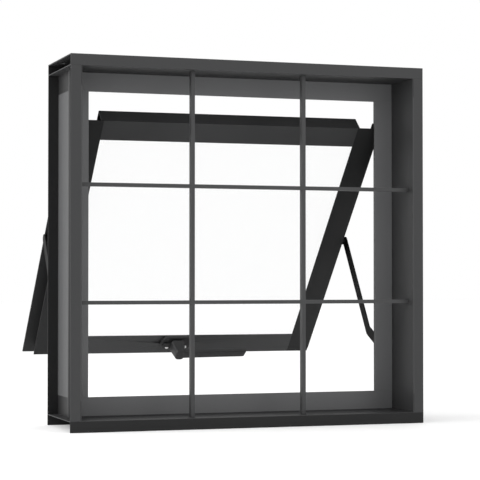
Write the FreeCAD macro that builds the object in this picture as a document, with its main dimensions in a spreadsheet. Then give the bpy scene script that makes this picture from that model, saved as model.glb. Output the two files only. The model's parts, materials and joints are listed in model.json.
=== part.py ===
import FreeCAD, Part
import os
import re

import Sketcher

# Top-projecting aluminium window: fixed frame with a grille, and a sash held open by two side stays.
# Frame pieces are drawn from the middle of the room face: x right, y outward, z up.
# Sash pieces are drawn from the top edge of the sash's room face: x right, y outward, z up the sash.
# Arms and sliders are drawn from their own pivots.

SIZES = {
    "frame_width": 600.0, "frame_height": 590.0, "frame_depth": 160.0,
    "jamb_flange": 18.4, "head_flange": 18.0, "flange_wall": 1.6, "web_wall": 1.2,
    "fin_front": 86.0, "fin_wall": 2.0, "fin_edge_x": 250.0, "fin_edge_z": 246.0,
    "seal_depth": 3.2, "seal_width": 5.0,
    "anchor_x": 286.0, "anchor_half_pitch": 43.0, "anchor_radius": 5.0,
    "port_front": 36.0, "port_back": 60.0, "port_radius": 3.5,
    "screw_radius": 1.5, "screw_hole": 1.6, "screw_head": 3.0, "screw_head_height": 1.8, "screw_length": 14.0,
    "bar_wide": 6.0, "bar_deep": 11.0, "bar_front": 18.5,
    "bar_x": 95.0, "bar_upper": 92.4, "bar_lower": 93.5,
    "tilt": 41.6, "pivot_out": 104.5, "pivot_closed": 265.5, "slide_drop": 59.74,
    "pivot_down": 3.0, "pivot_deep": 12.5,
    "sash_half": 262.8, "sash_height": 523.6, "sash_deep": 28.0, "sash_wall": 1.6,
    "top_rail": 38.9, "bottom_rail": 43.0, "stile_wide": 40.0, "stile_rebate": 15.5,
    "low_rebate": 27.4, "top_tube": 26.0, "top_lip": 35.0, "low_lip": 8.8,
    "lip_overhang": 5.2, "lip_deep": 9.0, "tube_wide": 18.1,
    "flap_half": 276.8, "flap_wall": 3.0, "flap_bottom": 16.4,
    "flap_top_cut": 8.5, "notch_down": 22.0, "notch_outer": 260.0, "cap_half": 226.5,
    "glass_front": 10.6, "glass_thick": 5.0, "glass_gap": 2.6, "outer_seal": 1.6,
    "inner_lap": 8.8, "outer_lap": 5.0, "bead_deep": 5.0, "bead_wide": 3.2,
    "corner_screw_deep": 4.6, "corner_screw_head": 2.7, "corner_top": 29.0, "corner_low": 8.0,
    "block_x": 120.0, "block_long": 60.0,
    "ear_inner": 274.4, "ear_wall": 2.6, "foot_wall": 2.5, "ear_wide": 13.0,
    "ear_over": 3.5, "step_down": 28.0, "foot_down": 68.0,
    "rivet_radius": 2.0, "rivet_head": 3.5, "rivet_first": 40.0, "rivet_second": 58.0,
    "pin_radius": 2.95, "pivot_hole": 3.0, "pin_head": 5.0, "pin_head_height": 1.5,
    "stay_down": 268.0, "stay_deep": 19.0, "post_radius": 5.5, "post_end": 277.05,
    "arm_inner": 277.1, "arm_wall": 1.9, "arm_wide": 17.0, "arm_eye": 8.5, "arm_foot": 7.5,
    "bend_along": 187.0, "bend_off": 31.0,
    "track_half": 8.0, "track_wall": 1.5, "track_open_half": 5.0, "track_high": 2.3, "track_lip": 0.6,
    "slider_wide": 12.6, "slider_half": 7.5, "slider_wall": 1.5, "slider_gap": 0.1,
    "handle_x": 2.0, "handle_down": 495.0, "base_thick": 7.0, "base_end": 15.0, "base_half": 15.0,
    "handle_screw_x": 17.0, "handle_screw_down": 8.0, "handle_screw_head": 3.2,
    "handle_screw_length": 11.5,
    "tongue_gap": 0.6, "tongue_thick": 3.4, "tongue_wide": 9.0, "tongue_long": 21.5, "tongue_hub": 9.0,
    "hub_end": 38.0, "hub_root": 13.0, "hub_tip": 11.0, "lever_thick": 10.0,
    "lever_reach": 127.0, "lever_root_up": 9.0, "lever_root_down": 8.0,
    "lever_tip_up": 8.0, "lever_tip_down": 6.0, "lever_slant": 2.5,
    "spindle_radius": 2.5, "spindle_hole": 2.55, "spindle_end": 6.8, "spindle_start": 30.0,
    "washer_radius": 3.9, "washer_front": 1.7, "washer_thick": 0.8, "nut_radius": 3.9, "nut_thick": 3.2,
}

# Lengths that follow from the driving sizes.
WEB_X = "(frame_width / 2 - jamb_flange)"
WEB_Z = "(frame_height / 2 - head_flange)"
STILE_IN = "(sash_half - stile_wide)"
LIP_X = "(sash_half - stile_wide + lip_overhang)"
TUBE_X = "(sash_half - stile_wide + stile_rebate)"
TUBE_OUT = "(sash_half - stile_wide + stile_rebate + tube_wide)"
GLASS_TOP = "-top_tube"
GLASS_LOW = "(-sash_height + bottom_rail - low_rebate)"
TOP_Z = "(pivot_closed - slide_drop)"
STAY_LONG = "hypot(stay_down - pivot_down; stay_deep - pivot_deep)"
STAY_TILT = "(tilt * 1 deg + atan((stay_deep - pivot_deep) / (stay_down - pivot_down)))"

doc = FreeCAD.newDocument("Window")
sheet = doc.addObject("Spreadsheet::Sheet", "Sizes")
for row, (word, value) in enumerate(SIZES.items(), start=1):
    sheet.set("A%d" % row, word)
    sheet.set("B%d" % row, str(value))
    sheet.setAlias("B%d" % row, word)
doc.recompute()

nodes = []


def dim(text):
    """An expression in which every size word points at its cell of the sheet."""
    def cell(match):
        word = match.group(0)
        return "Sizes." + word if word in SIZES else word
    return re.sub(r"[a-z_]+", cell, str(text))


def bind(item, prop, text):
    item.setExpression(prop, dim(text))


def place(item, spot):
    for letter, text in zip("xyz", spot):
        bind(item, "Placement.Base." + letter, text)
    return item


def node(item, label, home):
    """Names a finished piece and moves it to its place in the window."""
    if item.TypeId in ("Part::Box", "Part::Cylinder"):
        item.Label = label + "_solid"
        item = group(label, [item])
    item.Label = label
    home(item)
    nodes.append(item)
    return item


def at_frame(item):
    place(item, ("0", "-frame_depth / 2", "-frame_height / 2"))


def turned_about_x(item, spot, angle):
    item.Placement = FreeCAD.Placement(FreeCAD.Vector(), FreeCAD.Rotation(FreeCAD.Vector(1, 0, 0), 10))
    place(item, ("0", "%s - frame_depth / 2" % spot[0], "%s - frame_height / 2" % spot[1]))
    bind(item, "Placement.Rotation.Angle", angle)


def at_sash(item):
    """The sash hangs open: its top edge lies a little above and inside the upper pivots."""
    out = "pivot_out - pivot_down * sin(tilt * 1 deg) - pivot_deep * cos(tilt * 1 deg)"
    high = TOP_Z + " + pivot_down * cos(tilt * 1 deg) - pivot_deep * sin(tilt * 1 deg)"
    turned_about_x(item, (out, high), "tilt")


def at_arm(item):
    out = "pivot_out + %s * sin%s" % (STAY_LONG, STAY_TILT)
    high = "%s - %s * cos%s" % (TOP_Z, STAY_LONG, STAY_TILT)
    item.Placement = FreeCAD.Placement(FreeCAD.Vector(), FreeCAD.Rotation(FreeCAD.Vector(1, 0, 0), -10))
    place(item, ("0", "%s - frame_depth / 2" % out, "%s - frame_height / 2" % high))
    axis_sign = item.Placement.Rotation.Axis.x
    bind(item, "Placement.Rotation.Angle", ("-1 * " if axis_sign > 0 else "") + STAY_TILT)


def at_top_pivot(item):
    place(item, ("0", "pivot_out - frame_depth / 2", TOP_Z + " - frame_height / 2"))


def at_foot_pivot(item):
    high = "%s - 2 * %s * cos%s - frame_height / 2" % (TOP_Z, STAY_LONG, STAY_TILT)
    place(item, ("0", "pivot_out - frame_depth / 2", high))


def stays_home(item):
    """A mirrored piece takes its place from the piece that it mirrors."""


def box(name, low, size):
    item = doc.addObject("Part::Box", name)
    for prop, text in zip(("Length", "Width", "Height"), size):
        bind(item, prop, text)
    return place(item, low)


TURNS = {
    "z": FreeCAD.Rotation(),
    "x": FreeCAD.Rotation(FreeCAD.Vector(0, 1, 0), 90),
    "-x": FreeCAD.Rotation(FreeCAD.Vector(0, 1, 0), -90),
    "y": FreeCAD.Rotation(FreeCAD.Vector(1, 0, 0), -90),
    "-z": FreeCAD.Rotation(FreeCAD.Vector(1, 0, 0), 180),
}


def rod(name, axis, start, radius, length):
    item = doc.addObject("Part::Cylinder", name)
    bind(item, "Radius", radius)
    bind(item, "Height", length)
    item.Placement = FreeCAD.Placement(FreeCAD.Vector(), TURNS[axis])
    return place(item, start)


def fuse(name, items):
    item = doc.addObject("Part::MultiFuse", name)
    item.Shapes = items
    item.Refine = True
    return item


def cut(name, base, tools):
    tool = tools[0] if len(tools) == 1 else doc.addObject("Part::Compound", name + "_cuts")
    if len(tools) > 1:
        tool.Links = tools
    item = doc.addObject("Part::Cut", name)
    item.Base = base
    item.Tool = tool
    return item


def group(name, items):
    item = doc.addObject("Part::Compound", name)
    item.Links = items
    return item


def mirrored(source, label):
    item = doc.addObject("Part::Mirroring", label)
    item.Source = source
    item.Normal = FreeCAD.Vector(1, 0, 0)
    return node(item, label, stays_home)


def loop_of_lines(sketch, corners):
    """A closed outline whose corners are held by their distances from the origin."""
    first = sketch.GeometryCount
    count = len(corners)
    guess = [FreeCAD.Vector(10 * index, 3 * index * index + first, 0) for index in range(count)]
    for index in range(count):
        sketch.addGeometry(Part.LineSegment(guess[index], guess[(index + 1) % count]), False)
    for index, (across, up) in enumerate(corners):
        line = first + index
        follower = first + (index + 1) % count
        sketch.addConstraint(Sketcher.Constraint("Coincident", line, 2, follower, 1))
        for kind, text in (("DistanceX", across), ("DistanceY", up)):
            number = sketch.addConstraint(Sketcher.Constraint(kind, -1, 1, line, 1, 1.0))
            bind(sketch, "Constraints[%d]" % number, text)


def profile(name, plane, outlines, length, start):
    """A body whose closed outlines are drawn on one origin plane and drawn out to a length."""
    body = doc.addObject("PartDesign::Body", name)
    sketch = body.newObject("Sketcher::SketchObject", name + "_outline")
    origin_plane = [item for item in body.Origin.OriginFeatures if item.Role == plane][0]
    sketch.AttachmentSupport = [(origin_plane, "")]
    sketch.MapMode = "FlatFace"
    for corners in outlines:
        loop_of_lines(sketch, corners)
    pad = body.newObject("PartDesign::Pad", name + "_pad")
    pad.Profile = sketch
    bind(pad, "Length", length)
    return place(body, start)


def rectangle(left, low, right, high):
    return [(left, low), (right, low), (right, high), (left, high)]


def fastener(name, axis, seat, radius, head, head_height, length):
    """A headed screw or rivet: the head stands on the seat and the shank runs along the axis."""
    back = {"z": ("0", "0", "-1"), "-z": ("0", "0", "1"), "x": ("-1", "0", "0"),
            "-x": ("1", "0", "0"), "y": ("0", "-1", "0")}[axis]
    head_start = ["%s + %s * (%s)" % (spot, step, head_height) for spot, step in zip(seat, back)]
    return fuse(name, [rod(name + "_head", axis, head_start, head, head_height),
                       rod(name + "_shank", axis, seat, radius, length)])


# ---------------------------------------------------------------- fixed frame
def track_outline():
    """The lipped track for the sliders, on the jamb web's opening side, from its outer side inward."""
    face = WEB_X + " - track_high"
    under_lip = WEB_X + " - track_high + track_lip"
    inner_half = "(track_half - track_wall)"
    return [
        (WEB_X, "pivot_out + track_half"), (face, "pivot_out + track_half"),
        (face, "pivot_out + track_open_half"), (under_lip, "pivot_out + track_open_half"),
        (under_lip, "pivot_out + " + inner_half), (WEB_X, "pivot_out + " + inner_half),
        (WEB_X, "pivot_out - " + inner_half), (under_lip, "pivot_out - " + inner_half),
        (under_lip, "pivot_out - track_open_half"), (face, "pivot_out - track_open_half"),
        (face, "pivot_out - track_half"), (WEB_X, "pivot_out - track_half"),
    ]


def build_frame():
    web_out = WEB_X + " + web_wall"
    jamb_outline = [
        (WEB_X, "0"), ("frame_width / 2", "0"), ("frame_width / 2", "flange_wall"),
        (web_out, "flange_wall"), (web_out, "frame_depth - flange_wall"),
        ("frame_width / 2", "frame_depth - flange_wall"), ("frame_width / 2", "frame_depth"),
        (WEB_X, "frame_depth"),
    ]
    jamb_outline += track_outline()
    jamb_outline += [
        (WEB_X, "fin_front + fin_wall"), ("fin_edge_x", "fin_front + fin_wall"),
        ("fin_edge_x", "fin_front"), (WEB_X, "fin_front"),
    ]
    profile_long = "2 * " + WEB_Z
    jamb = profile("jamb", "XY_Plane", [jamb_outline], profile_long, ("0", "0", "-" + WEB_Z))
    port_x = WEB_X + " + web_wall + port_radius - 0.2"
    ports = []
    port_holes = []
    for place_word in ("port_front", "port_back"):
        ports.append(rod(place_word, "z", (port_x, place_word, "-" + WEB_Z), "port_radius", profile_long))
        port_holes.append(rod(place_word + "_hole", "z", (port_x, place_word, "-" + WEB_Z),
                              "screw_hole", profile_long))
    fin_ends = [
        box("fin_end_top", ("fin_edge_x - 1", "fin_front - 1", "fin_edge_z"),
            (WEB_X + " - fin_edge_x + 1", "fin_wall + 2", WEB_Z + " - fin_edge_z")),
        box("fin_end_low", ("fin_edge_x - 1", "fin_front - 1", "-" + WEB_Z),
            (WEB_X + " - fin_edge_x + 1", "fin_wall + 2", WEB_Z + " - fin_edge_z")),
    ]
    bar_middle = "bar_front + bar_deep / 2"
    bar_holes = [rod("bar_hole_%d" % index, "x", (WEB_X + " - 1", bar_middle, height),
                     "screw_hole", "web_wall + 2")
                 for index, height in enumerate(("bar_upper", "-bar_lower"))]
    jamb_right = node(cut("frame_jamb_right", fuse("jamb_solid", [jamb] + ports),
                          port_holes + fin_ends + bar_holes), "frame_jamb_right", at_frame)
    mirrored(jamb_right, "frame_jamb_left")

    half = "frame_width / 2"
    top = "frame_height / 2"
    web_top = WEB_Z + " + web_wall"
    head_outer = [("0", WEB_Z), ("fin_front", WEB_Z), ("fin_front", "fin_edge_z"),
                  ("fin_front + fin_wall", "fin_edge_z"), ("fin_front + fin_wall", WEB_Z),
                  ("frame_depth", WEB_Z), ("frame_depth", top), ("0", top)]
    head_hollow = rectangle("flange_wall", web_top, "frame_depth - flange_wall", top + " - flange_wall")
    sill_outer = [("0", "-" + WEB_Z), ("fin_front", "-" + WEB_Z), ("fin_front", "-fin_edge_z"),
                  ("fin_front + fin_wall", "-fin_edge_z"), ("fin_front + fin_wall", "-" + WEB_Z),
                  ("frame_depth", "-" + WEB_Z), ("frame_depth", "-" + top),
                  ("frame_depth - flange_wall", "-" + top),
                  ("frame_depth - flange_wall", "-1 * (%s)" % web_top),
                  ("flange_wall", "-1 * (%s)" % web_top), ("flange_wall", "-" + top), ("0", "-" + top)]
    head = profile("head", "YZ_Plane", [head_outer, head_hollow], "frame_width", ("-" + half, "0", "0"))
    sill = profile("sill", "YZ_Plane", [sill_outer], "frame_width", ("-" + half, "0", "0"))

    def fin_cuts(name, low):
        """The fin stops at the jamb webs, which run past it."""
        return [box("%s_fin_cut_%d" % (name, index), (left, "fin_front - 1", low),
                    ("jamb_flange + 1", "fin_wall + 2", WEB_Z + " - fin_edge_z"))
                for index, left in enumerate(("-%s - 1" % half, WEB_X))]

    def web_holes(name, low):
        spots = [("%s * (%s)" % (side, port_x), place_word)
                 for side in ("-1", "1") for place_word in ("port_front", "port_back")]
        spots += [("%s * bar_x" % side, bar_middle) for side in ("-1", "1")]
        return [rod("%s_hole_%d" % (name, index), "z", (across, out, low), "screw_hole", "web_wall + 2")
                for index, (across, out) in enumerate(spots)]

    anchors = [rod("anchor_%d" % index, "z",
                   ("%s * anchor_x" % side, "frame_depth / 2 + %s * anchor_half_pitch" % step,
                    top + " - flange_wall - 1"), "anchor_radius", "flange_wall + 2")
               for index, (side, step) in enumerate((a, b) for a in ("-1", "1") for b in ("-1", "1"))]
    head_cuts = fin_cuts("head", "fin_edge_z") + web_holes("head", WEB_Z + " - 1") + anchors
    node(cut("frame_head", head, head_cuts), "frame_head", at_frame)
    sill_cuts = fin_cuts("sill", "-" + WEB_Z) + web_holes("sill", "-%s - web_wall - 1" % WEB_Z)
    node(cut("frame_sill", sill, sill_cuts), "frame_sill", at_frame)

    screws = []
    for side in ("-1", "1"):
        for place_word in ("port_front", "port_back"):
            for axis, sign in (("-z", ""), ("z", "-1 * ")):
                seat = ("%s * (%s)" % (side, port_x), place_word, "%s(%s)" % (sign, web_top))
                screws.append(fastener("corner_screw_%d" % len(screws), axis, seat, "screw_radius",
                                       "screw_head", "screw_head_height", "screw_length"))
    node(group("frame_corner_screws", screws), "frame_corner_screws", at_frame)

    ring_low = ("-fin_edge_x", "fin_front + fin_wall", "-fin_edge_z")
    ring = box("seal_outer", ("-fin_edge_x - seal_width", ring_low[1], "-fin_edge_z - seal_width"),
               ("2 * (fin_edge_x + seal_width)", "seal_depth", "2 * (fin_edge_z + seal_width)"))
    opening = box("seal_opening", ring_low, ("2 * fin_edge_x", "seal_depth", "2 * fin_edge_z"))
    node(cut("frame_gasket", ring, [opening]), "frame_gasket", at_frame)


# ---------------------------------------------------------------- grille of halved flat bars
def build_grille():
    middle = "bar_front + bar_deep / 2"
    heights = ("bar_upper", "-bar_lower")
    crossings = ("-bar_x", "bar_x")
    for across, label in zip(crossings, ("grille_vertical_left", "grille_vertical_right")):
        bar = box(label + "_bar", (across + " - bar_wide / 2", "bar_front", "-" + WEB_Z),
                  ("bar_wide", "bar_deep", "2 * " + WEB_Z))
        cuts = [box("%s_half_%d" % (label, index), (across + " - bar_wide / 2", "bar_front",
                                                    height + " - bar_wide / 2"),
                    ("bar_wide", "bar_deep / 2", "bar_wide")) for index, height in enumerate(heights)]
        cuts += [rod(label + "_top_hole", "-z", (across, middle, WEB_Z), "screw_hole", "screw_length"),
                 rod(label + "_low_hole", "z", (across, middle, "-" + WEB_Z), "screw_hole", "screw_length")]
        node(cut(label, bar, cuts), label, at_frame)
    for height, label in zip(heights, ("grille_horizontal_upper", "grille_horizontal_lower")):
        bar = box(label + "_bar", ("-" + WEB_X, "bar_front", height + " - bar_wide / 2"),
                  ("2 * " + WEB_X, "bar_deep", "bar_wide"))
        cuts = [box("%s_half_%d" % (label, index), (across + " - bar_wide / 2", middle,
                                                    height + " - bar_wide / 2"),
                    ("bar_wide", "bar_deep / 2", "bar_wide")) for index, across in enumerate(crossings)]
        cuts += [rod(label + "_right_hole", "-x", (WEB_X, middle, height), "screw_hole", "screw_length"),
                 rod(label + "_left_hole", "x", ("-" + WEB_X, middle, height), "screw_hole", "screw_length")]
        node(cut(label, bar, cuts), label, at_frame)
    seats = [("-x", ("%s + web_wall" % WEB_X, middle, height)) for height in heights]
    seats += [("x", ("-%s - web_wall" % WEB_X, middle, height)) for height in heights]
    seats += [("-z", (across, middle, "%s + web_wall" % WEB_Z)) for across in crossings]
    seats += [("z", (across, middle, "-%s - web_wall" % WEB_Z)) for across in crossings]
    screws = [fastener("grille_screw_%d" % index, axis, seat, "screw_radius", "screw_head",
                       "screw_head_height", "screw_length") for index, (axis, seat) in enumerate(seats)]
    node(group("grille_screws", screws), "grille_screws", at_frame)


# ---------------------------------------------------------------- sash rails and stiles
def build_sash_frame():
    deep = "sash_deep"
    hollow_deep = "sash_deep - sash_wall"
    hollow_lip = "lip_deep - sash_wall"
    flap_in = "sash_deep - flap_wall"
    whole = "(sash_height + flap_bottom)"
    stile_outline = [
        (STILE_IN, "0"), ("sash_half", "0"), ("sash_half", "sash_wall"), (TUBE_OUT, "sash_wall"),
        (TUBE_OUT, flap_in), ("flap_half", flap_in), ("flap_half", deep), (TUBE_X, deep),
        (TUBE_X, "lip_deep"), (LIP_X, "lip_deep"), (LIP_X, "sash_wall"), (STILE_IN, "sash_wall"),
    ]
    stile_hollow = [
        (LIP_X + " + sash_wall", "sash_wall"), (TUBE_OUT + " - sash_wall", "sash_wall"),
        (TUBE_OUT + " - sash_wall", hollow_deep), (TUBE_X + " + sash_wall", hollow_deep),
        (TUBE_X + " + sash_wall", hollow_lip), (LIP_X + " + sash_wall", hollow_lip),
    ]
    stile = profile("stile", "XY_Plane", [stile_outline, stile_hollow], whole, ("0", "0", "-" + whole))
    stile_cuts = [
        box("stile_notch", (LIP_X + " - 1", "sash_wall", "-notch_down"),
            ("notch_outer - %s + 1" % LIP_X, deep, "notch_down + 1")),
        box("stile_flap_cut", ("notch_outer", "sash_wall", "-flap_top_cut"),
            ("flap_half - notch_outer + 1", deep, "flap_top_cut + 1")),
        box("stile_foot_cut", (STILE_IN + " - 1", "-1", "-%s - 1" % whole),
            ("stile_wide + flap_wall + 20", flap_in + " + 1", "flap_bottom + 1")),
        rod("post_hole", "x", (TUBE_OUT + " - sash_wall - 1", "stay_deep", "-stay_down"),
            "pivot_hole", "sash_wall + 2"),
    ]
    for index, down in enumerate(("rivet_first", "rivet_second")):
        stile_cuts.append(rod("stile_rivet_hole_%d" % index, "x",
                              (TUBE_OUT + " - sash_wall - 1", "pivot_deep", "-" + down),
                              "rivet_radius", "sash_wall + 2"))
    corner_heights = {"top": "-corner_top", "low": "-sash_height + corner_low"}
    for name, height in corner_heights.items():
        stile_cuts.append(rod(name + "_stile_hole", "x", (LIP_X + " - 1", "corner_screw_deep", height),
                              "screw_hole", "sash_wall + 2"))
    stile_right = node(cut("sash_stile_right", stile, stile_cuts), "sash_stile_right", at_sash)
    mirrored(stile_right, "sash_stile_left")

    low_plate = "-sash_height + bottom_rail"
    low_lip = low_plate + " - low_lip"
    outlines = {
        "top": [("0", "0"), (deep, "0"), (deep, "-top_tube"), ("lip_deep", "-top_tube"),
                ("lip_deep", "-top_lip"), ("sash_wall", "-top_lip"), ("sash_wall", "-top_rail"),
                ("0", "-top_rail")],
        "low": [("0", low_plate), ("0", "-sash_height"), (flap_in, "-sash_height"), (flap_in, "-" + whole),
                (deep, "-" + whole), (deep, GLASS_LOW), ("lip_deep", GLASS_LOW), ("lip_deep", low_lip),
                ("sash_wall", low_lip), ("sash_wall", low_plate)],
    }
    hollows = {
        "top": [("sash_wall", "-sash_wall"), (hollow_deep, "-sash_wall"),
                (hollow_deep, "-top_tube + sash_wall"), (hollow_lip, "-top_tube + sash_wall"),
                (hollow_lip, "-top_lip + sash_wall"), ("sash_wall", "-top_lip + sash_wall")],
        "low": [("sash_wall", "-sash_height + sash_wall"), (hollow_deep, "-sash_height + sash_wall"),
                (hollow_deep, GLASS_LOW + " - sash_wall"), (hollow_lip, GLASS_LOW + " - sash_wall"),
                (hollow_lip, low_lip + " - sash_wall"), ("sash_wall", low_lip + " - sash_wall")],
    }
    extra_cuts = {"top": [], "low": []}
    for index, left in enumerate(("cap_half", "-%s - 1" % TUBE_X)):
        extra_cuts["top"].append(box("top_notch_%d" % index, (left, "-1", "-notch_down"),
                                     ("%s - cap_half + 1" % TUBE_X, "sash_deep + 2", "notch_down + 1")))
    extra_cuts["low"].append(rod("spindle_rail_hole", "y", ("-handle_x", "-1", "-handle_down"),
                                 "spindle_hole", "sash_wall + 2"))
    for index, side in enumerate(("-1", "1")):
        spot = ("-handle_x + %s * handle_screw_x" % side, "-1", "-handle_down - handle_screw_down")
        extra_cuts["low"].append(rod("base_screw_hole_%d" % index, "y", spot, "screw_hole", "sash_wall + 2"))

    screws = []
    for name, label, bottom in (("top", "sash_top_rail", "-top_rail - 1"),
                                ("low", "sash_bottom_rail", "-sash_height - 1")):
        tube = profile(name + "_rail_tube", "YZ_Plane", [outlines[name], hollows[name]],
                       "2 * " + TUBE_X, ("-" + TUBE_X, "0", "0"))
        height = corner_heights[name]
        blocks = [box("%s_block_%d" % (name, index), (left, "sash_wall", height + " - port_radius"),
                      ("screw_length", "lip_deep - 2 * sash_wall", "2 * port_radius"))
                  for index, left in enumerate(("cap_half - screw_length", "-cap_half"))]
        cuts = extra_cuts[name] + rail_end_cuts(name, bottom)
        for side, axis in (("1", "-x"), ("-1", "x")):
            seat = ("%s * (%s + sash_wall)" % (side, LIP_X), "corner_screw_deep", height)
            cuts.append(rod("%s_port_%s" % (name, len(cuts)), axis, seat, "screw_hole", "1.5 * screw_length"))
            screws.append(fastener("%s_corner_%s" % (name, len(cuts)), axis, seat, "screw_radius",
                                   "corner_screw_head", "screw_head_height", "screw_length"))
        node(cut(label, fuse(label + "_solid", [tube] + blocks), cuts), label, at_sash)
    node(group("sash_corner_screws", screws), "sash_corner_screws", at_sash)


def rail_end_cuts(name, bottom):
    """Each rail is cut back where the stile's room-side plate and its lip run past it."""
    cuts = []
    for part, inner, depth in (("plate", STILE_IN, "sash_wall"), ("lip", LIP_X, "lip_deep")):
        for index, left in enumerate((inner, "-%s - 1" % TUBE_X)):
            cuts.append(box("%s_%s_end_%d" % (name, part, index), (left, "-1", bottom),
                            ("%s - %s + 1" % (TUBE_X, inner), depth + " + 1", "bottom_rail + 2")))
    return cuts


# ---------------------------------------------------------------- glass, its seals and beads
def build_glazing():
    high = "%s - %s" % (GLASS_TOP, GLASS_LOW)
    node(box("glass_pane", ("-%s + glass_gap" % TUBE_X, "glass_front", GLASS_LOW + " + glass_gap"),
             ("2 * (%s - glass_gap)" % TUBE_X, "glass_thick", high + " - 2 * glass_gap")),
         "glass_pane", at_sash)
    for label, front, deep, lap in (
            ("glazing_gasket_inner", "lip_deep", "glass_front - lip_deep", "inner_lap"),
            ("glazing_gasket_outer", "glass_front + glass_thick", "outer_seal", "outer_lap")):
        outer = box(label + "_outer", ("-%s + 0.5" % TUBE_X, front, GLASS_LOW + " + 0.5"),
                    ("2 * %s - 1" % TUBE_X, deep, high + " - 1"))
        inner = box(label + "_inner", ("-%s + %s" % (TUBE_X, lap), front, "%s + %s" % (GLASS_LOW, lap)),
                    ("2 * (%s - %s)" % (TUBE_X, lap), deep, "%s - 2 * %s" % (high, lap)))
        node(cut(label, outer, [inner]), label, at_sash)
    front = "glass_front + glass_thick + outer_seal"
    for label, left in (("glazing_bead_right", TUBE_X + " - bead_wide"), ("glazing_bead_left", "-" + TUBE_X)):
        node(box(label, (left, front, GLASS_LOW), ("bead_wide", "bead_deep", high)), label, at_sash)
    for label, start in (("glazing_bead_top", GLASS_TOP + " - bead_wide"),
                         ("glazing_bead_bottom", GLASS_LOW)):
        node(box(label, ("-%s + bead_wide" % TUBE_X, front, start),
                 ("2 * (%s - bead_wide)" % TUBE_X, "bead_deep", "bead_wide")), label, at_sash)
    blocks = [box("block_%d" % index, ("%s * block_x - block_long / 2" % side, "glass_front", GLASS_LOW),
                  ("block_long", "glass_thick", "glass_gap")) for index, side in enumerate(("-1", "1"))]
    node(group("setting_blocks", blocks), "setting_blocks", at_sash)


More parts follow.
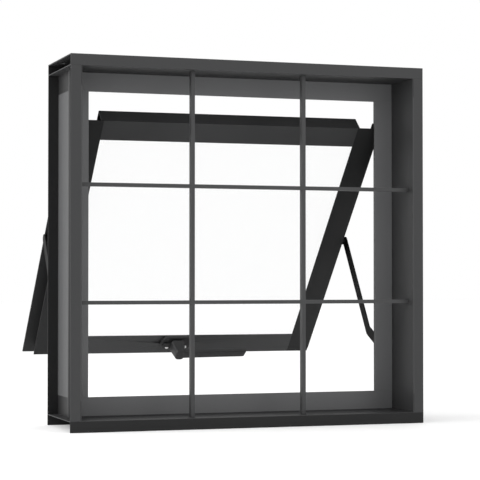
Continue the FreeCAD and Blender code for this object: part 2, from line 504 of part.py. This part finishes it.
# ---------------------------------------------------------------- stays: brackets, posts, arms, sliders
def build_stays():
    foot_out = TUBE_OUT + " + foot_wall"
    ear_out = "ear_inner + ear_wall"
    outline = [(TUBE_OUT, "-foot_down"), (foot_out, "-foot_down"), (foot_out, "-step_down - foot_wall"),
               (ear_out, "-step_down - foot_wall"), (ear_out, "ear_over"), ("ear_inner", "ear_over"),
               ("ear_inner", "-step_down"), (TUBE_OUT, "-step_down")]
    bracket = profile("bracket", "XZ_Plane", [outline], "ear_wide", ("0", "pivot_deep + ear_wide / 2", "0"))
    holes = [rod("ear_hole", "x", ("ear_inner - 1", "pivot_deep", "-pivot_down"), "pivot_hole",
                 "ear_wall + 2")]
    rivets = []
    for index, down in enumerate(("rivet_first", "rivet_second")):
        holes.append(rod("foot_hole_%d" % index, "x", (TUBE_OUT + " - 1", "pivot_deep", "-" + down),
                         "rivet_radius", "foot_wall + 2"))
        rivets.append(fastener("bracket_rivet_%d" % index, "-x", (foot_out, "pivot_deep", "-" + down),
                               "rivet_radius", "rivet_head", "1.2", "foot_wall + sash_wall + 2"))
    bracket_right = node(cut("pivot_bracket_right", bracket, holes), "pivot_bracket_right", at_sash)
    mirrored(bracket_right, "pivot_bracket_left")
    rivets_right = node(group("bracket_rivets_right", rivets), "bracket_rivets_right", at_sash)
    mirrored(rivets_right, "bracket_rivets_left")

    spot = ("stay_deep", "-stay_down")
    post = fuse("stay_post_right", [
        rod("post_body", "x", (TUBE_OUT,) + spot, "post_radius", "post_end - " + TUBE_OUT),
        rod("post_root", "-x", (TUBE_OUT,) + spot, "pivot_hole", "sash_wall + 2"),
        rod("post_pin", "x", ("post_end",) + spot, "pin_radius", "arm_inner + arm_wall - post_end"),
    ])
    mirrored(node(post, "stay_post_right", at_sash), "stay_post_left")

    def strip(name, length, start, angle):
        """One straight run of the arm, turned about its upper end."""
        item = doc.addObject("Part::Box", name)
        bind(item, "Length", "arm_wall")
        bind(item, "Width", "arm_wide")
        bind(item, "Height", length)
        item.Placement = FreeCAD.Placement(FreeCAD.Vector(), FreeCAD.Rotation(FreeCAD.Vector(1, 0, 0), 5))
        bind(item, "Placement.Rotation.Angle", angle)
        return place(item, start)

    lean_up = "atan(bend_off / bend_along)"
    lean_low = "atan(bend_off / (%s - bend_along))" % STAY_LONG
    upper = strip("arm_upper", "hypot(bend_off; bend_along)",
                  ("arm_inner", "bend_off - arm_wide / 2 * cos(%s)" % lean_up,
                   "-bend_along - arm_wide / 2 * sin(%s)" % lean_up), lean_up)
    lower = strip("arm_lower", "hypot(bend_off; %s - bend_along)" % STAY_LONG,
                  ("arm_inner", "-arm_wide / 2 * cos(%s)" % lean_low,
                   "-%s + arm_wide / 2 * sin(%s)" % (STAY_LONG, lean_low)), "360 deg - " + lean_low)
    foot_z = "-" + STAY_LONG
    arm_solid = fuse("arm_solid", [
        upper, lower,
        rod("arm_top_eye", "x", ("arm_inner", "0", "0"), "arm_eye", "arm_wall"),
        rod("arm_bend", "x", ("arm_inner", "bend_off", "-bend_along"), "arm_wide / 2", "arm_wall"),
        rod("arm_foot_eye", "x", ("arm_inner", "0", foot_z), "arm_foot", "arm_wall"),
    ])
    eyes = [rod("arm_top_hole", "x", ("arm_inner - 1", "0", "0"), "pivot_hole", "arm_wall + 2"),
            rod("arm_foot_hole", "x", ("arm_inner - 1", "0", foot_z), "pivot_hole", "arm_wall + 2")]
    arm_right = node(cut("stay_arm_right", arm_solid, eyes), "stay_arm_right", at_arm)
    mirrored(arm_right, "stay_arm_left")

    slider_out = WEB_X + " - slider_gap"
    for part, home, head_start in (("top", at_top_pivot, "(ear_inner - pin_head_height - 0.1)"),
                                   ("foot", at_foot_pivot, "(arm_inner - pin_head_height - 0.1)")):
        label = part + "_slider_right"
        block = box(label + "_block", (slider_out + " - slider_wall", "-slider_wide / 2", "-slider_half"),
                    ("slider_wall", "slider_wide", "2 * slider_half"))
        hole = rod(label + "_hole", "x", (WEB_X + " - 3", "0", "0"), "pin_radius", "slider_wall + 3")
        mirrored(node(cut(label, block, [hole]), label, home), part + "_slider_left")
        pin = fuse(part + "_pin_right", [
            rod(part + "_pin_head", "x", (head_start, "0", "0"), "pin_head", "pin_head_height"),
            rod(part + "_pin_shank", "x", (head_start, "0", "0"), "pin_radius",
                "%s - %s" % (slider_out, head_start)),
        ])
        mirrored(node(pin, part + "_pin_right", home), part + "_pin_left")


# ---------------------------------------------------------------- lever handle
def build_handle():
    centre = "-handle_down"
    base_parts = [
        box("base_middle", ("-handle_x - base_half", "-base_thick", centre + " - base_end"),
            ("2 * base_half", "base_thick", "2 * base_end")),
    ]
    for index, side in enumerate(("-1", "1")):
        base_parts.append(rod("base_round_%d" % index, "y",
                              ("-handle_x + %s * base_half" % side, "-base_thick", centre),
                              "base_end", "base_thick"))
    cuts = [rod("base_spindle_hole", "y", ("-handle_x", "-base_thick - 1", centre),
                "spindle_hole", "base_thick + 2")]
    screws = []
    for index, side in enumerate(("-1", "1")):
        spot = ("-handle_x + %s * handle_screw_x" % side, centre + " - handle_screw_down")
        seat = (spot[0], "-base_thick + screw_head_height", spot[1])
        cuts.append(rod("base_screw_%d" % index, "y", (spot[0], "-base_thick - 1", spot[1]),
                        "screw_hole", "base_thick + 2"))
        cuts.append(rod("base_sink_%d" % index, "y", (spot[0], "-base_thick - 1", spot[1]),
                        "handle_screw_head + 0.1", "screw_head_height + 1"))
        screws.append(fastener("base_fixing_%d" % index, "y", seat, "screw_radius",
                               "handle_screw_head", "screw_head_height", "handle_screw_length"))
    node(cut("handle_base", fuse("base_solid", base_parts), cuts), "handle_base", at_sash)
    node(group("handle_screws", screws), "handle_screws", at_sash)

    tongue_front = "-base_thick - tongue_gap - tongue_thick"
    tongue = fuse("tongue_solid", [
        rod("tongue_disc", "y", ("-handle_x", tongue_front, centre), "tongue_hub", "tongue_thick"),
        box("tongue_bar", ("-handle_x - tongue_long", tongue_front, centre + " - tongue_wide / 2"),
            ("tongue_long", "tongue_thick", "tongue_wide")),
        rod("tongue_nose", "y", ("-handle_x - tongue_long", tongue_front, centre),
            "tongue_wide / 2", "tongue_thick"),
    ])
    hole = rod("tongue_hole", "y", ("-handle_x", tongue_front + " - 1", centre),
               "spindle_radius", "tongue_thick + 2")
    node(cut("latch_tongue", tongue, [hole]), "latch_tongue", at_sash)

    hub = doc.addObject("Part::Cone", "hub")
    hub.Placement = FreeCAD.Placement(FreeCAD.Vector(), TURNS["y"])
    bind(hub, "Radius1", "hub_tip")
    bind(hub, "Radius2", "hub_root")
    bind(hub, "Height", "hub_end - base_thick - tongue_gap - tongue_thick")
    place(hub, ("-handle_x", "-hub_end", centre))
    grip_outline = [
        ("-handle_x", centre + " + lever_root_up"), ("-handle_x", centre + " - lever_root_down"),
        ("-handle_x + lever_reach - lever_slant", centre + " - lever_tip_down"),
        ("-handle_x + lever_reach", centre + " + lever_tip_up"),
    ]
    grip = profile("grip", "XZ_Plane", [grip_outline], "lever_thick", ("0", "-hub_end + lever_thick", "0"))
    bore = rod("lever_bore", "y", ("-handle_x", "-spindle_start", centre), "spindle_radius", "spindle_start")
    node(cut("handle_lever", fuse("lever_solid", [hub, grip]), [bore]), "handle_lever", at_sash)

    node(rod("handle_spindle", "y", ("-handle_x", "-spindle_start", centre), "spindle_radius",
             "spindle_start + spindle_end"), "handle_spindle", at_sash)
    washer_solid = rod("washer_solid", "y", ("-handle_x", "washer_front", centre), "washer_radius",
                       "washer_thick")
    washer_hole = rod("washer_hole", "y", ("-handle_x", "washer_front - 1", centre),
                      "spindle_radius", "washer_thick + 2")
    node(cut("spring_washer", washer_solid, [washer_hole]), "spring_washer", at_sash)
    nut_front = "washer_front + washer_thick"
    nut = doc.addObject("Part::Prism", "nut_solid")
    nut.Polygon = 6
    nut.Placement = FreeCAD.Placement(FreeCAD.Vector(), TURNS["y"])
    bind(nut, "Circumradius", "nut_radius")
    bind(nut, "Height", "nut_thick")
    place(nut, ("-handle_x", nut_front, centre))
    nut_hole = rod("nut_hole", "y", ("-handle_x", nut_front + " - 1", centre), "spindle_radius",
                   "nut_thick + 2")
    node(cut("spindle_nut", nut, [nut_hole]), "spindle_nut", at_sash)


build_frame()
build_grille()
build_sash_frame()
build_glazing()
build_stays()
build_handle()
doc.recompute()

for item in doc.Objects:
    if "Invalid" in item.State or "Error" in item.State:
        raise RuntimeError("%s did not build: %s" % (item.Label, item.State))
os.makedirs("parts", exist_ok=True)
for item in nodes:
    if item.Shape.isNull() or not item.Shape.isValid() or not item.Shape.Solids:
        raise RuntimeError("%s has no sound solid" % item.Label)
    item.Shape.exportStep("parts/%s.step" % item.Label)
print("%d pieces written" % len(nodes))
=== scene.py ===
"""Looks of the top-projecting window: powder-coated profiles, clear glass, cast handle, screws and studio."""
import json
import math

import bmesh
import bpy
from mathutils import Matrix, Vector


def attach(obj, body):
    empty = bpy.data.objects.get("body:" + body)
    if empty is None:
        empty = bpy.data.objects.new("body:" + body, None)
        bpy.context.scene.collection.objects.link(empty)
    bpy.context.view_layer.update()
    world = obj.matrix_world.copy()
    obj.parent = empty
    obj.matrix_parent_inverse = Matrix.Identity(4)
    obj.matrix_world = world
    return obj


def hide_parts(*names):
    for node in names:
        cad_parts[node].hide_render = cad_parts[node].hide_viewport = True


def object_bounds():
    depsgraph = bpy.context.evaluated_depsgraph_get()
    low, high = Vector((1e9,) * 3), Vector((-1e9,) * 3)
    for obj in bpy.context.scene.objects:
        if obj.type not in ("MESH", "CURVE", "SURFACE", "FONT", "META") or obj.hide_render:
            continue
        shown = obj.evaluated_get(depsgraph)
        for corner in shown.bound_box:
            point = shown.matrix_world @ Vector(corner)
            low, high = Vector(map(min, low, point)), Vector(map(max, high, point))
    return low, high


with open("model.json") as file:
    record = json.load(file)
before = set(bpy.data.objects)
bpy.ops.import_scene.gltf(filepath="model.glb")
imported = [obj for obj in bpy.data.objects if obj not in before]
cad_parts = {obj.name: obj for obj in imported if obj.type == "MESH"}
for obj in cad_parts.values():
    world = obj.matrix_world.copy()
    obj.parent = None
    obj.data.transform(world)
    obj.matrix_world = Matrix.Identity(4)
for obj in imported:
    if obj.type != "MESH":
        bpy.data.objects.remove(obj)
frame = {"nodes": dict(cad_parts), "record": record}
cad_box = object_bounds()
nodes = frame["nodes"]
joints = {joint["name"]: joint for joint in frame["record"]["behaviour"]["joints"]}

MM = 0.001
MIDDLE_HEIGHT = -0.295
RING_STEPS = 48
SCREW_OUT = 17 * MM
SCREW_SEAT = -6.2 * MM
SCREW_DOWN = -8 * MM
FLOOR_REACH = 14.0
FLOOR_GLOW = 0.16
CAMERA_AT = Vector((-0.91950, -2.69197, -0.35169))
CAMERA_YAW = math.radians(18.962)
CAMERA_PITCH = math.radians(1.305)
CAMERA_LENS = 129.25


# ---------------------------------------------------------------- materials
def new_material(name, colour, roughness, metallic=0.0):
    material = bpy.data.materials.new(name)
    material.use_nodes = True
    shader = material.node_tree.nodes["Principled BSDF"]
    shader.inputs["Base Color"].default_value = (*colour, 1.0)
    shader.inputs["Roughness"].default_value = roughness
    shader.inputs["Metallic"].default_value = metallic
    return material, shader


def add_noise(material, scale, detail, stretch=(1.0, 1.0, 1.0)):
    """Noise in the row's own metres, so that its grain has a real size."""
    tree = material.node_tree
    place = tree.nodes.new("ShaderNodeTexCoord")
    mapping = tree.nodes.new("ShaderNodeMapping")
    mapping.inputs["Scale"].default_value = stretch
    noise = tree.nodes.new("ShaderNodeTexNoise")
    noise.inputs["Scale"].default_value = scale
    noise.inputs["Detail"].default_value = detail
    tree.links.new(place.outputs["Object"], mapping.inputs["Vector"])
    tree.links.new(mapping.outputs["Vector"], noise.inputs["Vector"])
    return noise


def vary_colour(material, shader, noise, dark, light):
    ramp = material.node_tree.nodes.new("ShaderNodeValToRGB")
    ramp.color_ramp.elements[0].position = 0.3
    ramp.color_ramp.elements[0].color = (*dark, 1.0)
    ramp.color_ramp.elements[1].position = 0.7
    ramp.color_ramp.elements[1].color = (*light, 1.0)
    material.node_tree.links.new(noise.outputs["Fac"], ramp.inputs["Fac"])
    material.node_tree.links.new(ramp.outputs["Color"], shader.inputs["Base Color"])


def vary_roughness(material, shader, noise, smooth, rough):
    spread = material.node_tree.nodes.new("ShaderNodeMapRange")
    spread.inputs["To Min"].default_value = smooth
    spread.inputs["To Max"].default_value = rough
    material.node_tree.links.new(noise.outputs["Fac"], spread.inputs["Value"])
    material.node_tree.links.new(spread.outputs["Result"], shader.inputs["Roughness"])


def add_bump(material, shader, noise, strength, distance):
    bump = material.node_tree.nodes.new("ShaderNodeBump")
    bump.inputs["Strength"].default_value = strength
    bump.inputs["Distance"].default_value = distance
    material.node_tree.links.new(noise.outputs["Fac"], bump.inputs["Height"])
    material.node_tree.links.new(bump.outputs["Normal"], shader.inputs["Normal"])


def powder_coat(name, tone, roughness=0.5, sheen=0.22):
    """Matt polyester powder coat: fine orange peel, faint cloudiness and uneven sheen."""
    grey = (tone, tone * 1.01, tone * 1.03)
    material, shader = new_material(name, grey, roughness)
    clouds = add_noise(material, 9.0, 4.0)
    vary_colour(material, shader, clouds, [0.93 * part for part in grey], [1.07 * part for part in grey])
    vary_roughness(material, shader, clouds, roughness - 0.05, roughness + 0.06)
    add_bump(material, shader, add_noise(material, 1400.0, 2.0), 0.12, 0.00012)
    shader.inputs["Specular IOR Level"].default_value = sheen
    return material


def paint_light_and_shade(material, tone, across=None, along=None, up=None):
    """Paints light and shade into the coat: one zone in a lighter or darker tone, bounded on |X|, Y and
    height above the middle, in metres.
    """
    tree = material.node_tree
    shader = tree.nodes["Principled BSDF"]
    base = shader.inputs["Base Color"].links[0].from_socket
    place = tree.nodes.new("ShaderNodeTexCoord")
    split = tree.nodes.new("ShaderNodeSeparateXYZ")
    tree.links.new(place.outputs["Object"], split.inputs["Vector"])
    inside = None
    for axis, bounds in (("X", across), ("Y", along), ("Z", up)):
        if bounds is None:
            continue
        value = split.outputs[axis]
        if axis == "X":
            value = calculate(tree, "ABSOLUTE", value)
        elif axis == "Z":
            value = calculate(tree, "SUBTRACT", value, MIDDLE_HEIGHT)
        low = calculate(tree, "GREATER_THAN", value, bounds[0])
        high = calculate(tree, "LESS_THAN", value, bounds[1])
        both = calculate(tree, "MULTIPLY", low, high)
        inside = both if inside is None else calculate(tree, "MULTIPLY", inside, both)
    blend = tree.nodes.new("ShaderNodeMix")
    blend.data_type = "RGBA"
    blend.inputs[7].default_value = (tone, tone * 1.01, tone * 1.03, 1.0)
    tree.links.new(inside, blend.inputs["Factor"])
    tree.links.new(base, blend.inputs[6])
    tree.links.new(blend.outputs[2], shader.inputs["Base Color"])


def calculate(tree, operation, *values):
    node = tree.nodes.new("ShaderNodeMath")
    node.operation = operation
    for socket, value in zip(node.inputs, values):
        if isinstance(value, float):
            socket.default_value = value
        else:
            tree.links.new(value, socket)
    return node.outputs[0]


def rubber(name):
    material, shader = new_material(name, (0.008, 0.008, 0.008), 0.7)
    grain = add_noise(material, 700.0, 3.0)
    vary_colour(material, shader, grain, (0.006, 0.006, 0.006), (0.011, 0.011, 0.011))
    add_bump(material, shader, grain, 0.2, 0.0001)
    return material


def steel(name, colour, roughness, stretch):
    """Rolled or turned steel with fine drawn lines along one direction."""
    material, shader = new_material(name, colour, roughness, 1.0)
    lines = add_noise(material, 900.0, 3.0, stretch)
    vary_roughness(material, shader, lines, roughness - 0.08, roughness + 0.12)
    vary_colour(material, shader, lines, [0.85 * part for part in colour], colour)
    add_bump(material, shader, lines, 0.15, 0.00005)
    return material


def screw_head_painted_glint(name):
    """Small screw heads in a near-white matt colour: zinc's own pale grey with its glint painted in, with a
    faint cloudiness.
    """
    material, shader = new_material(name, (0.9, 0.9, 0.89), 0.32, 0.1)
    clouds = add_noise(material, 800.0, 3.0)
    vary_colour(material, shader, clouds, (0.86, 0.86, 0.85), (0.95, 0.95, 0.94))
    vary_roughness(material, shader, clouds, 0.26, 0.40)
    return material


def glass(name):
    """A clear thin pane: it lets the light through and keeps only its gloss."""
    material, shader = new_material(name, (0.93, 0.97, 0.96), 0.03)
    dust = add_noise(material, 12.0, 5.0)
    vary_roughness(material, shader, dust, 0.02, 0.05)
    shader.inputs["Alpha"].default_value = 0.03
    shader.inputs["IOR"].default_value = 1.45
    return material


def plastic(name):
    material, shader = new_material(name, (0.03, 0.03, 0.03), 0.55)
    add_bump(material, shader, add_noise(material, 1200.0, 2.0), 0.15, 0.0001)
    return material


# The frame's coat, with light and shade painted into it zone by zone below.
frame_coat_and_shading = powder_coat("frame_powder_coat_painted_shading", 0.030)
# Painted light: the frame's room faces a little lighter than the rest of the coat.
paint_light_and_shade(frame_coat_and_shading, 0.040, along=(-0.081, -0.0795))
# Painted shade: the bottom strip of the room face, along the sill, darker.
paint_light_and_shade(frame_coat_and_shading, 0.011, along=(-0.081, -0.0780), up=(-0.296, -0.2775))
# Painted shade: the back flanges' inner faces, deep in the channels, darker.
paint_light_and_shade(frame_coat_and_shading, 0.012, along=(0.0780, 0.081))
# Painted light: the fins that the sash closes on, much lighter than the coat.
paint_light_and_shade(frame_coat_and_shading, 0.130, across=(0.0, 0.2815), along=(0.0055, 0.0083), up=(-0.276, 0.276))
# Painted light: a pale strip on the jambs' outer faces, as high as the fins' opening.
paint_light_and_shade(frame_coat_and_shading, 0.062, across=(0.2825, 0.2832), up=(-0.246, 0.246))
# Painted shade: both ends of the jambs' outer faces dark, under the head and above the sill.
paint_light_and_shade(frame_coat_and_shading, 0.012, across=(0.2825, 0.2832), up=(0.246, 0.2765))
paint_light_and_shade(frame_coat_and_shading, 0.012, across=(0.2825, 0.2832), up=(-0.2765, -0.246))

LOOKS = {
    "frame": frame_coat_and_shading,
    "grille": powder_coat("grille_powder_coat", 0.050),
    "sash": powder_coat("sash_powder_coat", 0.038),
    # Painted shade: the sash stiles get a darker, duller copy of the sash coat.
    "stile": powder_coat("stile_coat_painted_shade", 0.017, 0.55, 0.14),
    "cast": powder_coat("cast_handle_coat", 0.020, 0.42),
    "stay": powder_coat("black_stay_coat", 0.006, 0.6, 0.1),
    "zinc": steel("zinc_plated_steel", (0.72, 0.72, 0.70), 0.28, (1.0, 0.2, 0.2)),
    "bright": screw_head_painted_glint("screw_heads_painted_glint"),
    "rubber": rubber("black_rubber"),
    "glass": glass("clear_pane"),
    "plastic": plastic("black_block_plastic"),
}


def look_of(name):
    if name == "glass_pane":
        return "glass"
    if "gasket" in name:
        return "rubber"
    if name == "setting_blocks":
        return "plastic"
    if "screws" in name or "rivets" in name or name in ("spindle_nut", "spring_washer", "handle_spindle"):
        return "zinc"
    if name.startswith(("stay_", "top_", "foot_", "pivot_bracket")):
        return "stay"
    if name.startswith("grille_"):
        return "grille"
    if name in ("handle_base", "handle_lever", "latch_tongue"):
        return "cast"
    if name.startswith("sash_stile"):
        return "stile"
    return "frame" if name.startswith("frame_") else "sash"


def soften_edges(item, width):
    """A small rounded arris on every sharp edge, as extruded and coated metal has."""
    weld = item.modifiers.new("weld", "WELD")
    weld.merge_threshold = 0.00001
    bevel = item.modifiers.new("arris", "BEVEL")
    bevel.width = width
    bevel.segments = 2
    bevel.limit_method = "ANGLE"
    bevel.angle_limit = math.radians(40)


# Arris widths in millimetres, by node or by look.
ARRIS = {"handle_base": 1.2, "latch_tongue": 0.6, "grille": 0.5, "stay": 0.4,
         "frame": 0.3, "sash": 0.3, "stile": 0.3}

for name, item in nodes.items():
    look = look_of(name)
    item.data.materials.clear()
    item.data.materials.append(LOOKS[look])
    width = ARRIS.get(name, ARRIS.get(look))
    if width:
        soften_edges(item, width * MM)


# ---------------------------------------------------------------- detailed pieces
def add_piece(name, mesh_maker, matrix, look, body, stands_for=()):
    mesh = bpy.data.meshes.new(name)
    shape = bmesh.new()
    mesh_maker(shape)
    bmesh.ops.transform(shape, matrix=matrix, verts=shape.verts)
    bmesh.ops.recalc_face_normals(shape, faces=shape.faces)
    shape.to_mesh(mesh)
    shape.free()
    item = bpy.data.objects.new(name, mesh)
    bpy.context.scene.collection.objects.link(item)
    item.data.materials.append(LOOKS[look])
    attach(item, body)
    if stands_for:
        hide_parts(*stands_for)
    return item


def skin(shape, rings):
    """Joins closed rings of equal count into a skin and caps both ends."""
    rows = [[shape.verts.new(point) for point in ring] for ring in rings]
    count = len(rows[0])
    for row, following in zip(rows, rows[1:]):
        for index in range(count):
            beyond = (index + 1) % count
            shape.faces.new((row[index], row[beyond], following[beyond], following[index]))
    shape.faces.new(rows[0])
    shape.faces.new(list(reversed(rows[-1])))


def rounded_ring(half_wide, half_high, corner, steps=6):
    """Points of a rectangle with round corners, round its middle."""
    points = []
    for turn, (across, up) in enumerate(((1, 1), (-1, 1), (-1, -1), (1, -1))):
        for step in range(steps + 1):
            angle = math.radians(90 * (turn + step / steps))
            points.append((across * (half_wide - corner) + corner * math.cos(angle),
                           up * (half_high - corner) + corner * math.sin(angle)))
    return points


def handle_matrix():
    """Across the sash, out of it and up it, from the handle's axis at the rail's room face."""
    turn = joints["handle_turn"]
    out = -Vector(turn["axis"]).normalized()
    across = Vector((1, 0, 0))
    up = across.cross(out)
    # The joint is stated 20 mm in front of the rail's face.
    start = Vector(turn["pos_m"]) + 20 * MM * out
    columns = Matrix((across, out, up)).transposed().to_4x4()
    return Matrix.Translation(start) @ columns


def lever_hub(shape):
    """The cast hub: a broad foot on the latch tongue that tapers to its room-side end."""
    rings = []
    for deep, wide, high, drop in ((11.0, 12.6, 12.6, 0.0), (14.0, 12.6, 12.6, 0.0), (22.0, 11.0, 11.4, 0.2),
                                   (30.0, 9.2, 10.6, 0.4), (36.8, 7.6, 10.2, 0.6), (37.9, 6.6, 9.2, 0.6)):
        rings.append([(x * MM, -deep * MM, (z - drop) * MM) for x, z in rounded_ring(wide, high, 5.0)])
    skin(shape, rings)


def lever_grip(shape):
    """The grip: a tapering rounded bar with a raised back and a slanted end."""
    rings = []
    stations = ((-1.0, 7.6, 4.4, 0.2), (8.0, 7.6, 4.7, 0.3), (30.0, 7.2, 4.7, 0.4), (75.0, 7.0, 4.5, 0.8),
                (117.0, 6.9, 4.3, 1.0), (124.4, 6.7, 4.1, 1.0), (126.2, 5.9, 3.4, 1.1))
    for reach, half_high, half_deep, lift in stations:
        ring = []
        for out, up in rounded_ring(half_deep, half_high, 1.6):
            slant = 1.3 * (up / half_high) * max(0.0, (reach - 75.0) / 51.0)
            ring.append(((reach + slant - 0.9) * MM, (-32.9 + out) * MM, (up + lift) * MM))
        rings.append(ring)
    skin(shape, rings)


def round_over(item, width, segments=3):
    bevel = item.modifiers.new("round", "BEVEL")
    bevel.width = width * MM
    bevel.segments = segments
    bevel.limit_method = "ANGLE"
    bevel.angle_limit = math.radians(35)


def shade_smooth(item, angle=35):
    item.data.shade_smooth()
    with bpy.context.temp_override(object=item, active_object=item, selected_objects=[item],
                                   selected_editable_objects=[item]):
        bpy.ops.object.shade_smooth_by_angle(angle=math.radians(angle))


def cross_recess(x, z, radius):
    """How far the cross slot has sunk at a point of a screw head, from 0 to 1."""
    reach = 0.62 * radius
    half = 0.15 * radius
    along, across = max(abs(x), abs(z)), min(abs(x), abs(z))
    if along > reach or across > half:
        return 0.0
    return min(1.0, (reach - along) / (0.2 * radius))


def circle(radius, depth):
    """Points of a ring round the y axis at a depth."""
    turns = [math.tau * step / RING_STEPS for step in range(RING_STEPS)]
    return [(radius * math.cos(turn), depth, radius * math.sin(turn)) for turn in turns]


def screw_head(radius, height, shank_radius, shank_length):
    """A low domed head with a cross slot, and its shank. The axis is y and the head looks to -y."""
    def build(shape):
        rings = []
        for share in (0.08, 0.16, 0.24, 0.32, 0.4, 0.48, 0.56, 0.64, 0.74, 0.84, 0.93, 1.0):
            dome = height * (1.0 - 0.45 * share ** 2.5)
            rings.append([(x, -(dome - 0.55 * height * cross_recess(x, z, radius)), z)
                          for x, _, z in circle(share * radius, 0.0)])
        rings += [circle(radius, 0.0), circle(shank_radius, 0.0), circle(shank_radius, shank_length)]
        skin(shape, rings)
    return build


def facing(spot, axis):
    """A matrix that puts a screw's seat on a spot with its shank along an axis."""
    turn = Vector((0, 1, 0)).rotation_difference(Vector(axis))
    return Matrix.Translation(spot) @ turn.to_matrix().to_4x4()


place = handle_matrix()
hub = add_piece("handle_hub_cast", lever_hub, place, "cast", "handle", ("handle_lever",))
round_over(hub, 1.0)
grip = add_piece("handle_grip_cast", lever_grip, place, "cast", "handle")
round_over(grip, 0.8)
for item in (hub, grip):
    shade_smooth(item)

for side, label in ((-1, "left"), (1, "right")):
    seat = place @ Vector((side * SCREW_OUT, SCREW_SEAT, SCREW_DOWN))
    head = add_piece("handle_screw_" + label, screw_head(3.2 * MM, 2.1 * MM, 1.5 * MM, 13.9 * MM),
                     facing(seat, -Vector(joints["handle_turn"]["axis"])), "bright", "sash",
                     ("handle_screws",) if side < 0 else ())
    shade_smooth(head, 30)


# ---------------------------------------------------------------- studio
def area_light(name, spot, target, size, power):
    data = bpy.data.lights.new(name, "AREA")
    data.shape = "RECTANGLE"
    data.size, data.size_y = size
    data.energy = power
    item = bpy.data.objects.new(name, data)
    item.location = spot
    item.rotation_euler = (Vector(target) - Vector(spot)).to_track_quat("-Z", "Y").to_euler()
    bpy.context.scene.collection.objects.link(item)


low, high = (Vector(corner) for corner in cad_box)
middle = (low + high) / 2

world = bpy.data.worlds.new("studio")
world.use_nodes = True
world.node_tree.nodes["Background"].inputs["Color"].default_value = (1.0, 1.0, 1.0, 1.0)
world.node_tree.nodes["Background"].inputs["Strength"].default_value = 1.0
bpy.context.scene.world = world
bpy.context.scene.view_settings.view_transform = "Standard"

floor_mesh = bpy.data.meshes.new("floor")
floor_corners = ((-1, -1), (1, -1), (1, 1), (-1, 1))
floor_mesh.from_pydata([(x * FLOOR_REACH, y * FLOOR_REACH, low.z) for x, y in floor_corners], [],
                       [(0, 1, 2, 3)])
floor = bpy.data.objects.new("floor", floor_mesh)
bpy.context.scene.collection.objects.link(floor)
floor_material, floor_shader = new_material("pale_floor", (0.86, 0.86, 0.86), 0.8)
floor_shader.inputs["Emission Color"].default_value = (1.0, 1.0, 1.0, 1.0)
floor_shader.inputs["Emission Strength"].default_value = FLOOR_GLOW
floor.data.materials.append(floor_material)

area_light("key", (1.6, -2.4, 1.0), middle, (1.2, 1.2), 12)
area_light("side", (-2.2, 0.1, 0.1), middle, (1.4, 1.4), 45)

camera_data = bpy.data.cameras.new("camera")
camera_data.lens = CAMERA_LENS
camera_data.sensor_width = 36.0
camera_data.clip_end = 60.0
camera = bpy.data.objects.new("camera", camera_data)
forward = Vector((math.sin(CAMERA_YAW) * math.cos(CAMERA_PITCH),
                  math.cos(CAMERA_YAW) * math.cos(CAMERA_PITCH), math.sin(CAMERA_PITCH)))
camera.location = CAMERA_AT
camera.rotation_euler = forward.to_track_quat("-Z", "Y").to_euler()
bpy.context.scene.collection.objects.link(camera)
bpy.context.scene.camera = camera
